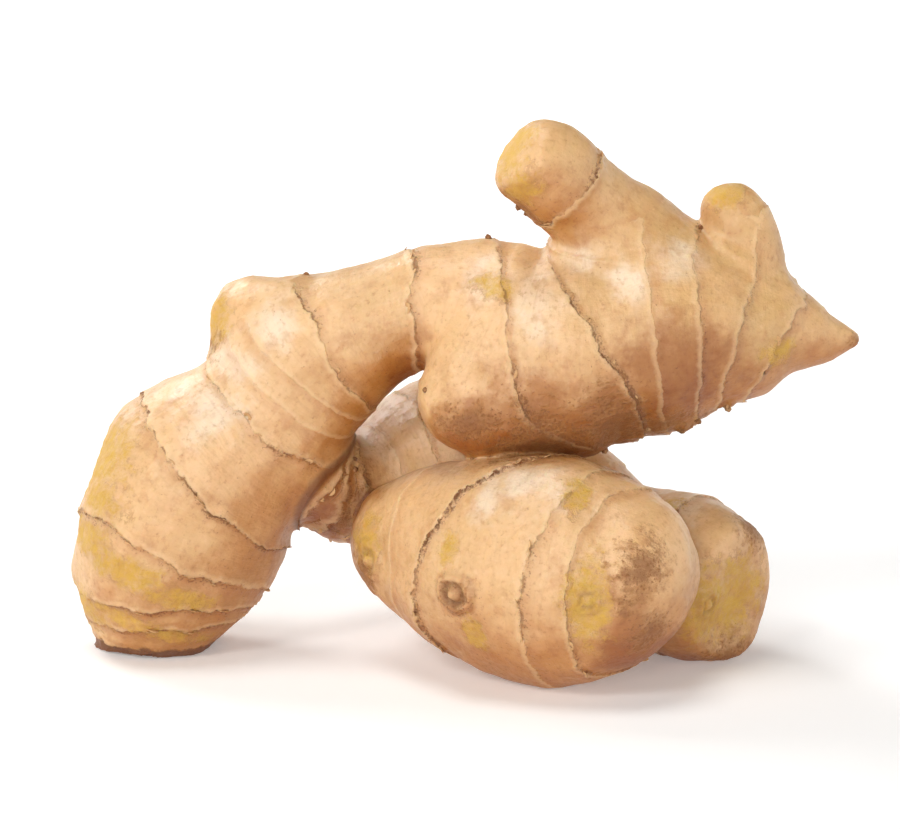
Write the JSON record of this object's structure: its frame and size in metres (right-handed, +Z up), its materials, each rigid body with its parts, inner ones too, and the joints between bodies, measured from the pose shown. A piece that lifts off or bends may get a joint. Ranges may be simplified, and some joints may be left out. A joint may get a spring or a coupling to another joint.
{
  "type": "ginger root",
  "caption": "Hand of fresh ginger: one knobbly rhizome with a standing leg, a ringed crown with stubby shoots and thick lobes lying below it.",
  "frame": {"origin": "on the surface it rests on, under the middle of the bounding box", "axes": "+Z up, +X from the cut foot of the stem towards the pointed shoot, -Y towards the thick front lobe"},
  "size_m": [0.147, 0.0773, 0.1011],
  "materials": {
    "skin": "thin papery tan skin with a soft satin sheen, darker scar rings, yellow where it is rubbed off"
  },
  "bodies": {
    "root": {"rhizome": "skin"}
  },
  "joints": []
}
